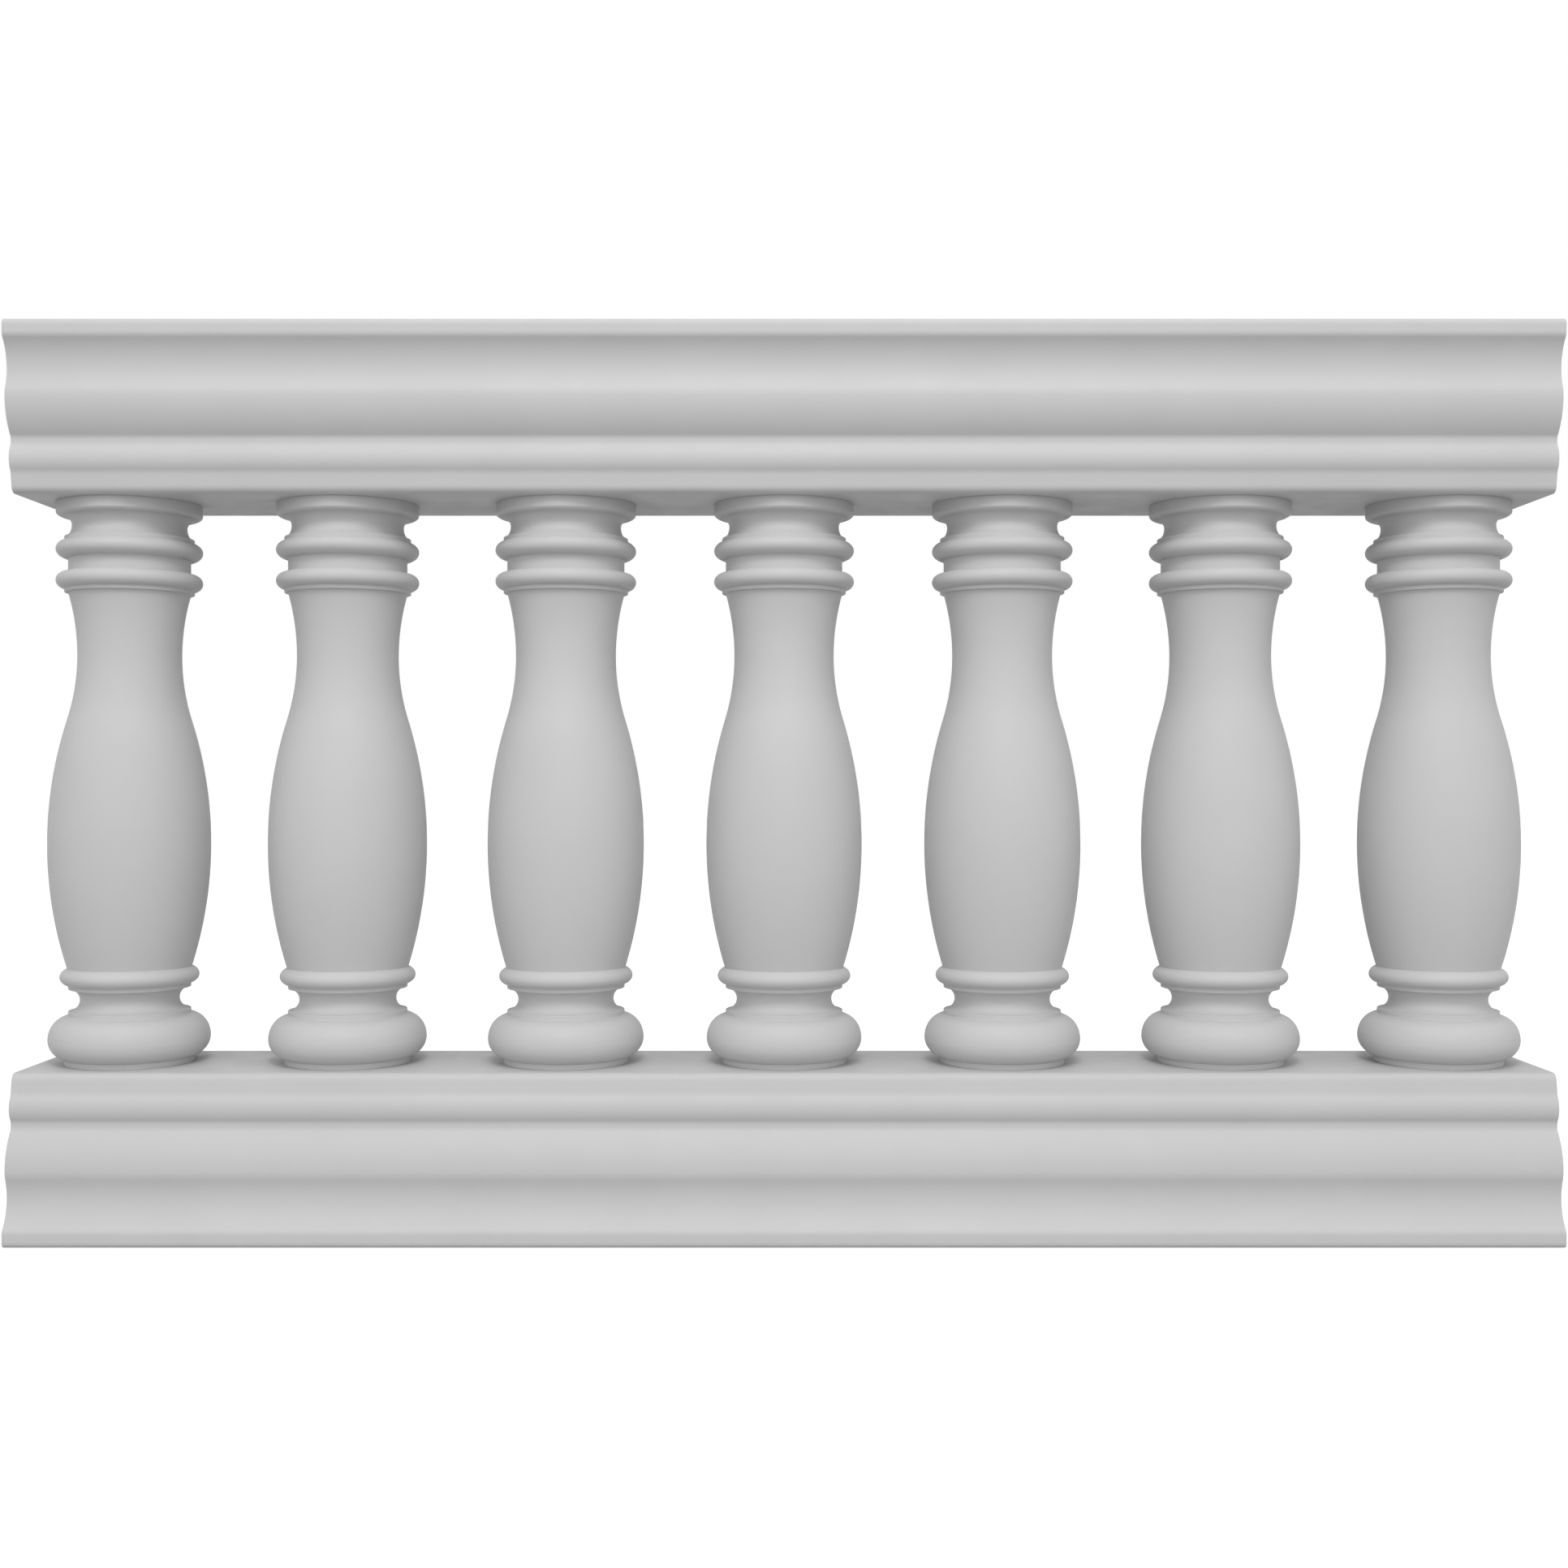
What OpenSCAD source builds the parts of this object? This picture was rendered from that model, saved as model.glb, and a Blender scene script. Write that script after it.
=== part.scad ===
// Fiberglass balustrade: one straight bay of turned balusters between two moulded rails.
// X runs along the bay, Y through its depth and Z up. The origin is on the floor, under the middle.
// Both rails come out of one mould, so the bottom rail is the top rail turned upside down.

/* [Bay] */
// Number of balusters
baluster_count = 7; // [2:1:8]
// Distance between baluster axes
baluster_pitch = 226.6; // [170:0.1:280]
// Distance from the last baluster's axis to the end of the rails
end_margin = 89.2; // [75:0.1:160]

/* [Rail moulding] */
// Width of the flat face that the balusters meet
web_width = 170; // [140:0.1:205]
// Rounding of the edge beside that flat face
web_edge_radius = 8; // [3:0.5:10]
// Height of the plain band beside the flat face
band_height = 21; // [16:0.1:26]
// Projection of that band where it meets the bead
band_projection = 2; // [1:0.1:4]
// Height of the bead
bead_height = 26.4; // [20:0.1:32]
// Projection of the bead
bead_projection = 6.6; // [4:0.1:9]
// Height of the fillet between bead and bulge
fillet_height = 8; // [4:0.1:12]
// Projection of that fillet
fillet_projection = 1.6; // [1:0.1:3]
// Height of the bulge from the fillet to its fullest line
bulge_height = 39; // [32:0.1:48]
// Projection of the bulge
bulge_projection = 16.7; // [14:0.1:20]
// Height from the fullest line of the bulge to the deepest line of the cove
turn_height = 26.6; // [22:0.1:32]
// Share of that turn that is the cove's curve, and not the bulge's
turn_share = 0.66; // [0.3:0.02:0.8]
// Projection of the cove's deepest line
cove_projection = 11.3; // [9:0.1:13]
// Radius of the cove's curve out to the fascia
cove_radius = 45; // [36:0.5:54]
// Projection of the fascia
fascia_projection = 23.9; // [20:0.1:30]
// Height of the fascia over its lower rounding
fascia_height = 14; // [10:0.1:24]
// Rounding between cove and fascia
fascia_edge_radius = 5; // [3:0.5:7]
// Rounding of the fascia's outer edge
outer_edge_radius = 4.5; // [2:0.5:6]

/* [Rail shell] */
// Thickness of the rail's moulded wall
rail_wall = 5; // [3:0.5:7]
// Thickness of the flat face that carries the balusters
web_thickness = 6; // [4:0.5:10]
// Thickness of the plate that closes a rail
cover_thickness = 6; // [4:0.5:8]
// Width of the rail's edge beside that plate
cover_lip = 6; // [4:0.5:8]
// Width of the ledge that carries the plate
cover_ledge = 6; // [4:0.5:8]
// Thickness of the plates that close the rail ends
end_plate_thickness = 10; // [6:1:16]
// Gap round a plate that is bonded into a rail
bond_gap = 0.3; // [0.2:0.1:0.5]

/* [Baluster foot] */
// Height of a baluster between the rails
baluster_height = 578; // [480:1:760]
// Radius of the disc under the base torus
plinth_radius = 64.5; // [54:0.1:76]
// Height of that disc
plinth_height = 5.6; // [3:0.1:9]
// Radius of the base torus
torus_radius = 80.4; // [68:0.1:90]
// Radius to the centre of the base torus's curve
torus_core = 59.5; // [50:0.1:64]
// Height of the base torus's curve below its fullest line
torus_drop = 20.4; // [16:0.1:25]
// Height of the base torus's curve above its fullest line
torus_rise = 24.2; // [20:0.1:29]
// Radius of the fillets on both sides of the scotia
foot_fillet_radius = 60.6; // [54:0.1:66]
// Height of the fillet under the scotia
lower_fillet_height = 4.7; // [3:0.1:6]
// Radius of the scotia's curve
scotia_curve = 11.4; // [9:0.1:14]
// Height of the fillet over the scotia
upper_fillet_height = 3.7; // [3:0.1:5]
// Radius of the foot bead
foot_bead_radius = 68.9; // [64:0.1:80]
// Radius to the centre of the foot bead's curve
foot_bead_core = 57.4; // [50:0.1:62]
// Half the height of the foot bead
foot_bead_half = 9.2; // [7:0.1:11]

/* [Baluster shaft] */
// Radius of the shaft at its foot
shaft_foot_radius = 61.6; // [55:0.1:67]
// Height of the belly over the deck
belly_height = 226; // [190:1:270]
// Radius of the belly
belly_radius = 80.7; // [68:0.1:96]
// Distance from the baluster's top down to the waist
waist_depth = 157; // [131:1:188]
// Radius of the waist
waist_radius = 51.6; // [44:0.1:59]
// Share of the turn from belly to waist that is the waist's curve
waist_share = 0.34; // [0.2:0.02:0.8]
// Radius of the shaft at its top
shaft_top_radius = 60.5; // [60:0.1:63]

/* [Baluster cap] */
// Radius of the collars outside the two cap beads
collar_radius = 64.2; // [62:0.1:68]
// Height of the collar on top of the shaft
shaft_collar_height = 3.8; // [3:0.1:5]
// Radius of both cap beads
cap_bead_radius = 72.6; // [68:0.1:86]
// Radius to the centre of the lower cap bead's curve
neck_bead_core = 63.4; // [60:0.1:66]
// Half the height of the lower cap bead
neck_bead_half = 8.5; // [7:0.1:11]
// Radius of the plain drum between the two beads
drum_radius = 60.5; // [52:0.1:66]
// Height of that drum
drum_height = 14.2; // [11:0.1:18]
// Radius to the centre of the upper cap bead's curve
cap_bead_core = 60.5; // [55:0.1:64]
// Half the height of the upper cap bead
cap_bead_half = 9.4; // [7:0.1:12]
// Height of the collar over that bead
throat_collar_height = 3.9; // [3:0.1:5]
// Height of the throat's curve below its narrowest line
throat_lower = 12.2; // [10:0.1:15]
// Height of the throat's curve above its narrowest line
throat_upper = 8.7; // [7:0.1:11]
// Radius of the throat at that line
throat_radius = 56.9; // [54:0.1:60]
// Radius of the abacus
abacus_radius = 72.4; // [70:0.1:80]
// Height of the abacus
abacus_height = 14.3; // [11:0.1:18]
// Width of the rounding under the abacus
abacus_edge_width = 8; // [4:0.5:10]
// Height of the rounding under the abacus
abacus_edge_height = 4.5; // [3:0.5:6]

/* [Baluster shell] */
// Thickness of the baluster's moulded wall
baluster_wall = 5; // [3:0.5:7]

/* [Fixings] */
// Diameter of the tie rods
rod_diameter = 12; // [8:1:16]
// Clearance round a rod in the rails
rod_clearance = 0.8; // [0.5:0.1:1.5]
// Length of rod past the inner face of a rail's web
rod_end = 22; // [18:1:30]
// Side of the square washer plates
washer_side = 50; // [36:1:60]
// Thickness of the washer plates
washer_thickness = 5; // [3:0.5:6]
// Width across the flats of the nuts
nut_width = 19; // [19:1:27]
// Height of the nuts
nut_height = 10; // [8:1:12]
// Diameter of the holes in the end plates
joint_hole_diameter = 11; // [8:1:14]
// Distance between those holes across the bay
joint_hole_spread = 110; // [80:1:132]
// Distance between those holes up the rail
joint_hole_rise = 90; // [60:1:110]
// Distance from the outside of the web to the middle of that pattern
joint_hole_centre = 83; // [69:1:99]
// Diameter of the anchor holes in the base plate
anchor_hole_diameter = 14; // [10:1:18]
// Distance from the rail ends to the anchor holes
anchor_inset = 150; // [60:1:300]
// Distance between anchor holes across the bay
anchor_spread = 120; // [80:1:150]

/* [Hidden] */
// Straight stretches that each arc of an outline is made of
arc_steps = 8;
// Straight stretches that each arc of the shaft is made of
shaft_steps = 14;
// Facets of round bodies and holes
$fn = 96;
// Depth by which a cut runs past the face it opens
cut = 1;

gelcoat = [0.78, 0.78, 0.78];
laminate = [0.66, 0.66, 0.64];
zinc = [0.62, 0.63, 0.65];

// Points of an arc about a centre, with its own radius along each axis, from one angle to another
function arc(centre, radii, from, to, steps = arc_steps) = [
  for (i = [0:steps])
    let (a = from + (to - from) * i / steps)
    [centre.x + radii.x * cos(a), centre.y + radii.y * sin(a)]
];

// An arc with the same radius both ways
function round_arc(centre, radius, from, to, steps = arc_steps) =
  arc(centre, [radius, radius], from, to, steps);

// Radius of the arc that starts upright and moves out by depth over a reach of height
function arc_radius(reach, depth) = (reach * reach + depth * depth) / (2 * depth);

// Angle whose cosine is a share of a curve's radius, kept to what the curve reaches
function angle_at(share) = acos(max(-1, min(1, share)));

// The curve of a round moulding: the height of its fullest line, half its own height, how far out
// its centre and its fullest line are, and how far out the faces are that it meets below and above
function bead(centre, half, core, full, below, above) =
  arc([core, centre], [full - core, half],
    -angle_at((below - core) / (full - core)), angle_at((above - core) / (full - core)));

// Height of such a curve from its fullest line to the face that it meets
function bead_reach(half, core, full, face) = half * sin(angle_at((face - core) / (full - core)));

// Levels of the rail's mouldings, as distances from the outside of its web
bead_foot = band_height;
bead_end = bead_foot + bead_height;
bulge_foot = bead_end + fillet_height;
bulge_crest = bulge_foot + bulge_height;
cove_line = bulge_crest + turn_height;

// The bulge has one radius below its crest. The turn from its crest to the cove is an S of two arcs,
// and the cove runs on smoothly into the rounding of the fascia.
bulge_radius = arc_radius(bulge_height, bulge_projection - fillet_projection);
bulge_angle = asin(bulge_height / bulge_radius);
turn_radius = arc_radius(turn_height, bulge_projection - cove_projection);
turn_angle = asin(turn_height / turn_radius);
cove_angle = acos(1 - (fascia_projection - cove_projection) / (cove_radius + fascia_edge_radius));
fascia_foot = cove_line + (cove_radius + fascia_edge_radius) * sin(cove_angle);
rail_height = fascia_foot + fascia_height;

web_half = web_width / 2;
fascia_half = web_half + fascia_projection;
bulge_half = web_half + bulge_projection;
cove_half = web_half + cove_projection;
cover_half = fascia_half - cover_lip;
cover_level = rail_height - cover_thickness;
rail_length = (baluster_count - 1) * baluster_pitch + 2 * end_margin;
deck_level = rail_height;
soffit_level = rail_height + baluster_height;

// The bead of the rail is a shallow arc between two faces that are nearly in line
bead_radius = arc_radius(bead_height / 2, bead_projection - band_projection);
bead_angle = asin(bead_height / 2 / bead_radius);

// One side of the rail: distance out from its middle plane, and distance from the outside of its web
rail_side = concat(
  round_arc([web_half - web_edge_radius, web_edge_radius], web_edge_radius, -90, 0),
  round_arc([web_half + bead_projection - bead_radius, (bead_foot + bead_end) / 2], bead_radius,
    -bead_angle, bead_angle),
  [[web_half + fillet_projection, bead_end], [web_half + fillet_projection, bulge_foot]],
  round_arc([bulge_half - bulge_radius, bulge_crest], bulge_radius, -bulge_angle, 0),
  round_arc([bulge_half - turn_radius * (1 - turn_share), bulge_crest], turn_radius * (1 - turn_share),
    0, turn_angle),
  round_arc([cove_half + turn_radius * turn_share, cove_line], turn_radius * turn_share,
    180 + turn_angle, 180),
  round_arc([cove_half + cove_radius, cove_line], cove_radius, 180, 180 - cove_angle),
  round_arc([fascia_half - fascia_edge_radius, fascia_foot], fascia_edge_radius, -cove_angle, 0),
  round_arc([fascia_half - outer_edge_radius, rail_height - outer_edge_radius], outer_edge_radius, 0, 90)
);

// One side of the hollow inside the rail, held in by a gap on every face but the web
function hollow_side(gap, top) = [
  [web_half - rail_wall - gap, web_thickness],
  [web_half - rail_wall - gap, bulge_foot + rail_wall],
  [bulge_half - rail_wall - gap, bulge_crest],
  [cove_half - rail_wall - gap, cove_line - rail_wall],
  [cove_half - rail_wall - gap, cove_line + rail_wall],
  [cover_half - cover_ledge - gap, cover_level - gap],
  [cover_half - cover_ledge - gap, top]
];

// A whole outline from one side of it and the mirrored copy of that side
module mirrored_outline(side) {
  polygon(concat(side, [for (i = [len(side) - 1:-1:0]) [-side[i].x, side[i].y]]));
}

// Turns an outline of distance out and distance from the web's face into a length of rail
module along_bay(length) {
  rotate([90, 0, 90])
    linear_extrude(height = length, center = true)
      children();
}

// Places a child made for the top rail on the top rail, or upside down on the bottom rail
module on_top_rail() {
  translate([0, 0, soffit_level]) children();
}

module on_bottom_rail() {
  translate([0, 0, deck_level]) mirror([0, 0, 1]) children();
}

function baluster_x(number) = (number - (baluster_count + 1) / 2) * baluster_pitch;

module rail_shell() {
  difference() {
    along_bay(rail_length) mirrored_outline(rail_side);
    along_bay(rail_length + 2 * cut) mirrored_outline(hollow_side(0, cover_level + cut));
    along_bay(rail_length + 2 * cut)
      translate([-cover_half, cover_level])
        square([2 * cover_half, cover_thickness + cut]);
    for (number = [1:baluster_count])
      translate([baluster_x(number), 0, -cut])
        cylinder(h = web_thickness + 2 * cut, d = rod_diameter + 2 * rod_clearance);
  }
}

module cover_plate() {
  translate([-rail_length / 2, -cover_half + bond_gap, cover_level])
    cube([rail_length, 2 * (cover_half - bond_gap), cover_thickness]);
}

module end_plate(side) {
  difference() {
    translate([side * (rail_length - end_plate_thickness) / 2, 0, 0])
      along_bay(end_plate_thickness) mirrored_outline(hollow_side(bond_gap, cover_level - bond_gap));
    for (across = [-1, 1], up = [-1, 1])
      translate([side * (rail_length / 2 + cut), across * joint_hole_spread / 2,
          joint_hole_centre + up * joint_hole_rise / 2])
        rotate([0, -side * 90, 0])
          cylinder(h = end_plate_thickness + 2 * cut, d = joint_hole_diameter);
  }
}

// Levels of the foot's mouldings, stacked up from the deck
torus_line = plinth_height + bead_reach(torus_drop, torus_core, torus_radius, plinth_radius);
torus_end = torus_line + bead_reach(torus_rise, torus_core, torus_radius, foot_fillet_radius);
scotia_line = torus_end + lower_fillet_height + scotia_curve;
foot_bead_start = scotia_line + scotia_curve + upper_fillet_height;
foot_bead_line = foot_bead_start
  + bead_reach(foot_bead_half, foot_bead_core, foot_bead_radius, foot_fillet_radius);
shaft_foot = foot_bead_line + bead_reach(foot_bead_half, foot_bead_core, foot_bead_radius, shaft_foot_radius);

// Levels of the cap's mouldings, stacked down from the soffit
throat_line = baluster_height - abacus_height - throat_upper;
throat_foot = throat_line - throat_lower;
cap_bead_line = throat_foot - throat_collar_height
  - bead_reach(cap_bead_half, cap_bead_core, cap_bead_radius, collar_radius);
drum_top = cap_bead_line - bead_reach(cap_bead_half, cap_bead_core, cap_bead_radius, drum_radius);
neck_bead_line = drum_top - drum_height - neck_bead_half;
shaft_top = neck_bead_line - shaft_collar_height
  - bead_reach(neck_bead_half, neck_bead_core, cap_bead_radius, collar_radius);

// The shaft is one arc up to its belly, an S of two arcs from belly to waist and one arc above
waist_height = baluster_height - waist_depth;
belly_curve = arc_radius(belly_height - shaft_foot, belly_radius - shaft_foot_radius);
belly_angle = asin((belly_height - shaft_foot) / belly_curve);
shaft_turn = arc_radius(waist_height - belly_height, belly_radius - waist_radius);
shaft_turn_angle = asin((waist_height - belly_height) / shaft_turn);
waist_curve = shaft_turn * waist_share;
belly_turn = shaft_turn - waist_curve;
top_curve = arc_radius(shaft_top - waist_height, shaft_top_radius - waist_radius);
top_angle = asin((shaft_top - waist_height) / top_curve);

// The shaft from its foot to its waist, held in from the outside by a wall's thickness
function lower_shaft(wall) = concat(
  round_arc([belly_radius - belly_curve, belly_height], belly_curve - wall, -belly_angle, 0, shaft_steps),
  round_arc([belly_radius - belly_turn, belly_height], belly_turn - wall, 0, shaft_turn_angle, shaft_steps),
  round_arc([waist_radius + waist_curve, waist_height], waist_curve + wall,
    180 + shaft_turn_angle, 180, shaft_steps)
);

baluster_outside = concat(
  [[plinth_radius, 0]],
  arc([torus_core, torus_line], [torus_radius - torus_core, torus_drop],
    -angle_at((plinth_radius - torus_core) / (torus_radius - torus_core)), 0),
  arc([torus_core, torus_line], [torus_radius - torus_core, torus_rise],
    0, angle_at((foot_fillet_radius - torus_core) / (torus_radius - torus_core))),
  round_arc([foot_fillet_radius, scotia_line], scotia_curve, 270, 90),
  bead(foot_bead_line, foot_bead_half, foot_bead_core, foot_bead_radius,
    foot_fillet_radius, shaft_foot_radius),
  lower_shaft(0),
  round_arc([waist_radius + top_curve, waist_height], top_curve, 180, 180 - top_angle),
  [[collar_radius, shaft_top]],
  bead(neck_bead_line, neck_bead_half, neck_bead_core, cap_bead_radius, collar_radius, neck_bead_core),
  [[drum_radius, neck_bead_line + neck_bead_half]],
  bead(cap_bead_line, cap_bead_half, cap_bead_core, cap_bead_radius, drum_radius, collar_radius),
  arc([collar_radius, throat_line], [collar_radius - throat_radius, throat_lower], 270, 180),
  round_arc([throat_radius + throat_upper, throat_line], throat_upper, 180, 90),
  arc([abacus_radius - abacus_edge_width, baluster_height - abacus_height + abacus_edge_height],
    [abacus_edge_width, abacus_edge_height], -90, 0),
  [[abacus_radius, baluster_height]]
);

foot_core_radius = foot_fillet_radius - scotia_curve - baluster_wall;
baluster_inside = concat(
  [[foot_core_radius, 0], [foot_core_radius, foot_bead_line]],
  lower_shaft(baluster_wall),
  [[waist_radius - baluster_wall, baluster_height]]
);

module baluster(number) {
  color(gelcoat)
    translate([baluster_x(number), 0, deck_level])
      rotate_extrude()
        polygon(concat(baluster_outside, [
          for (i = [len(baluster_inside) - 1:-1:0]) baluster_inside[i]
        ]));
}

// A washer plate with a nut on it, standing on the inner face of a rail's web
module washer_and_nut() {
  translate([-washer_side / 2, -washer_side / 2, 0])
    cube([washer_side, washer_side, washer_thickness]);
  translate([0, 0, washer_thickness])
    cylinder(h = nut_height, d = nut_width / cos(30), $fn = 6);
}

// A rod through a baluster, with a washer plate and a nut inside each rail
module tie_rod(number) {
  reach = web_thickness + rod_end;
  color(zinc)
    translate([baluster_x(number), 0, 0]) {
      translate([0, 0, deck_level - reach])
        cylinder(h = baluster_height + 2 * reach, d = rod_diameter);
      translate([0, 0, soffit_level + web_thickness])
        washer_and_nut();
      translate([0, 0, deck_level - web_thickness])
        mirror([0, 0, 1])
          washer_and_nut();
    }
}

module top_rail() {
  color(gelcoat) on_top_rail() rail_shell();
}

module top_cover() {
  color(gelcoat) on_top_rail() cover_plate();
}

module bottom_rail() {
  color(gelcoat) on_bottom_rail() rail_shell();
}

module base_plate() {
  color(laminate)
    difference() {
      on_bottom_rail() cover_plate();
      for (along = [-1, 1], across = [-1, 1])
        translate([along * (rail_length / 2 - anchor_inset), across * anchor_spread / 2, -cut])
          cylinder(h = cover_thickness + 2 * cut, d = anchor_hole_diameter);
    }
}

module top_end_plate(side) {
  color(laminate) on_top_rail() end_plate(side);
}

module bottom_end_plate(side) {
  color(laminate) on_bottom_rail() end_plate(side);
}

top_rail();
top_cover();
bottom_rail();
base_plate();
for (number = [1:baluster_count]) {
  baluster(number);
  tie_rod(number);
}
top_end_plate(-1);  // top_left_end_plate
top_end_plate(1);  // top_right_end_plate
bottom_end_plate(-1);  // bottom_left_end_plate
bottom_end_plate(1);  // bottom_right_end_plate
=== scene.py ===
import bisect
import math

import bmesh
import bpy
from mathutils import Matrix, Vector


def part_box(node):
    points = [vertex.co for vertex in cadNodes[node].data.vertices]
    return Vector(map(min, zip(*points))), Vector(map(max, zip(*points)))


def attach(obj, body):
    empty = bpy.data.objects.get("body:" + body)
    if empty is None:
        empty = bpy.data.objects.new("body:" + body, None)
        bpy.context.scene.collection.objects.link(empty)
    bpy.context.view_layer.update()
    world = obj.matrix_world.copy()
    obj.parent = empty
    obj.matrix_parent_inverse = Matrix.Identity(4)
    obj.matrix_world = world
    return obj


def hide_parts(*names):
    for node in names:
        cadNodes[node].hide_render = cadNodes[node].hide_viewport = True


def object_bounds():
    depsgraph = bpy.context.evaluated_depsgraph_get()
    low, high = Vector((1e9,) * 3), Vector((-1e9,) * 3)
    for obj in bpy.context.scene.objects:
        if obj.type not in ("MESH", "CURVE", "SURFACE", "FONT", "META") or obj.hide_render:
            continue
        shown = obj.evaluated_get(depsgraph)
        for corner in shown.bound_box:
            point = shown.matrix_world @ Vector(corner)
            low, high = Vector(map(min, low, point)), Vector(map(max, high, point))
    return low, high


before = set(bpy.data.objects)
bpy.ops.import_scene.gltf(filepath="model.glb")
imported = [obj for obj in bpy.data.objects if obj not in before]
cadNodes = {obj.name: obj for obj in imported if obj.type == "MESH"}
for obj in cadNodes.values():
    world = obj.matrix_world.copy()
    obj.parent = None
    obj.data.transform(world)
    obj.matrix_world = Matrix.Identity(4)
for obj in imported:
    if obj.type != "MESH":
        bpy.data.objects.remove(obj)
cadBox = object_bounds()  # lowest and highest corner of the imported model
scene = bpy.context.scene
print("frame loaded,", len(cadNodes), "nodes")

mm = 0.001  # the outlines are written in millimetres, the scene is in metres
creaseAngle = math.radians(35)  # sharper corners than this stay crisp, the rest are shaded smooth


# outlines are lists of (out, up) points in millimetres
def arc(centre, radii, start, end, steps=10):
    # angles in degrees, and a radius for each direction
    points = []
    for i in range(steps + 1):
        angle = math.radians(start + (end - start) * i / steps)
        points.append((centre[0] + radii[0] * math.cos(angle), centre[1] + radii[1] * math.sin(angle)))
    return points


def roundArc(centre, radius, start, end, steps=10):
    return arc(centre, (radius, radius), start, end, steps)


def arcRadius(reach, depth):
    # an arc that starts upright and moves out by depth over a reach of height
    return (reach * reach + depth * depth) / (2 * depth)


def angleAt(share):
    return math.degrees(math.acos(max(-1, min(1, share))))


def leanOf(reach, radius):
    return math.degrees(math.asin(reach / radius))


def bead(line, half, core, full, below, above, steps=16):
    # a round moulding between the faces that it meets below and above
    start = -angleAt((below - core) / (full - core))
    end = angleAt((above - core) / (full - core))
    return arc((core, line), (full - core, half), start, end, steps)


def beadReach(half, core, full, face):
    # height from a bead's middle to where it meets a face
    return half * math.sin(math.radians(angleAt((face - core) / (full - core))))


def eased(points, reach, step=1.0, samples=4, shortest=1e-9):
    # walks along an open outline and averages it over a reach on both sides, which rounds its inside
    # and outside corners as a mould does; the two ends stay where they are
    marks = [0]
    for a, b in zip(points, points[1:]):
        marks.append(marks[-1] + math.dist(a, b))
    total = marks[-1]

    def at(distance):
        i = min(max(bisect.bisect_right(marks, distance), 1), len(points) - 1)
        share = (distance - marks[i - 1]) / max(marks[i] - marks[i - 1], shortest)
        return [a + (b - a) * share for a, b in zip(points[i - 1], points[i])]

    count = round(total / step)
    soft = []
    for i in range(count + 1):
        here = total * i / count
        span = min(reach, here, total - here)
        near = [at(here + span * k / samples) for k in range(-samples, samples + 1)]
        soft.append(tuple(sum(values) / len(near) for values in zip(*near)))
    return soft


def softCorners(points, radius, turn=20, steps=4, shortest=0.01, sideShare=0.4, longSide=6):
    # takes the knife edge off each corner of a closed outline; beside a long side it leaves a short
    # flat that keeps the smooth shading from spreading over the wide faces
    loop = []
    for i, point in enumerate(points):
        if (Vector(point) - Vector(points[i - 1])).length > shortest:
            loop.append(Vector(point))
    soft = []
    for i, corner in enumerate(loop):
        before = loop[i - 1] - corner
        after = loop[(i + 1) % len(loop)] - corner
        bend = math.pi - before.angle(after)
        if bend < math.radians(turn):
            soft.append(corner)
            continue
        reach = min(radius * math.tan(bend / 2), sideShare * before.length, sideShare * after.length)
        back = before.normalized() * reach
        onward = after.normalized() * reach
        entry = corner + back
        leave = corner + onward
        if before.length > longSide * reach:
            soft.append(corner + back * 2)
        for j in range(steps + 1):
            t = j / steps
            soft.append(entry * (1 - t) ** 2 + corner * 2 * t * (1 - t) + leave * t ** 2)
        if after.length > longSide * reach:
            soft.append(corner + onward * 2)
    return soft


class NodeDesk:
    # a short way to place nodes in a tree and join them up
    def __init__(self, tree):
        self.tree = tree

    def join(self, node, joins):
        # joins holds a socket's name or number, and the socket or value that goes in
        for key, value in joins.items():
            if isinstance(value, bpy.types.NodeSocket):
                self.tree.links.new(value, node.inputs[key])
            else:
                node.inputs[key].default_value = value
        return node

    def node(self, kind, joins=None, **settings):
        made = self.tree.nodes.new(kind)
        for key, value in settings.items():
            setattr(made, key, value)
        return self.join(made, joins or {})

    def add(self, kind, joins=None, **settings):
        # the same, for a node whose first output is the one to use
        return self.node(kind, joins, **settings).outputs[0]

    def maths(self, operation, a, b):
        return self.add("ShaderNodeMath", {0: a, 1: b}, operation=operation)

    def spread(self, value, low, high, fromLow=0.3, fromHigh=0.7):
        return self.node("ShaderNodeMapRange", {
            "Value": value, "From Min": fromLow, "From Max": fromHigh,
            "To Min": low, "To Max": high}).outputs["Result"]

    def seenDirectly(self):
        # 1 where the camera looks at the backdrop itself, or sees it in something shiny or clear
        ray = self.node("ShaderNodeLightPath").outputs
        seen = ray["Is Camera Ray"]
        for name in ("Is Glossy Ray", "Is Transmission Ray"):
            seen = self.maths("MAXIMUM", seen, ray[name])
        return seen


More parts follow.
